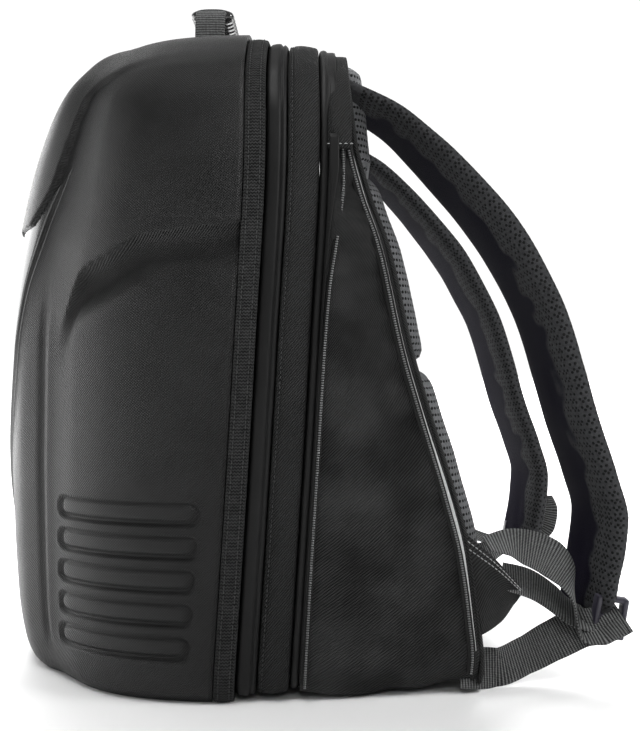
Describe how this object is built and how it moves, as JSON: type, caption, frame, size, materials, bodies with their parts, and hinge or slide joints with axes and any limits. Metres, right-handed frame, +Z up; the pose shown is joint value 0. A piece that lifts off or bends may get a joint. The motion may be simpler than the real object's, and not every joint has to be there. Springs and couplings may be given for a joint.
{
  "type": "hard shell backpack",
  "caption": "Hard shell backpack with a hooded moulded front, a wedge shaped expansion gusset, padded straps and a carry handle.",
  "frame": {"origin": "on the floor under the middle of the bounding box", "axes": "+Z up, +X from the shell's nose towards the wearer's back, +Y towards the wearer's right"},
  "size_m": [0.4856, 0.3258, 0.5334],
  "materials": {
    "shell": "satin charcoal with a fine woven emboss",
    "front_panel": "smooth gloss charcoal",
    "binding": "knit tape with two rows of stitches",
    "zip_strip": "smooth satin strip",
    "twill": "coarse diagonal twill",
    "piping": "smooth black piping",
    "air_mesh": "padded air mesh with round perforations",
    "zip": "coil zip, satin",
    "strap_mesh": "padded strap in dark mesh",
    "adjuster": "satin moulded plastic",
    "webbing": "ribbed webbing",
    "grip": "smooth gloss grip"
  },
  "bodies": {
    "root": {"shell": "shell", "front_panel": "front_panel", "rim_binding": "binding", "zip_channel": "zip_strip", "frame_band": "twill", "frame_piping": "piping", "gusset": "twill", "back_panel": "twill", "pad_top": "air_mesh", "pad_mid": "air_mesh", "pad_low": "air_mesh", "carry_handle": "webbing", "handle_grip": "grip", "side_flap_left": "zip_strip", "side_flap_right": "zip_strip", "top_tab_left": "twill", "top_tab_right": "twill", "zip_front_left": "zip", "zip_front_right": "zip", "zip_rear_left": "zip", "zip_rear_right": "zip", "strap_left": "strap_mesh", "strap_right": "strap_mesh", "ladder_lock_left": "adjuster", "ladder_lock_right": "adjuster", "lower_webbing_left": "webbing", "lower_webbing_right": "webbing", "tab_webbing_left": "webbing", "tab_webbing_right": "webbing", "tail_webbing_left": "webbing", "tail_webbing_right": "webbing", "wing_tab_left": "twill", "wing_tab_right": "twill"}
  },
  "joints": []
}
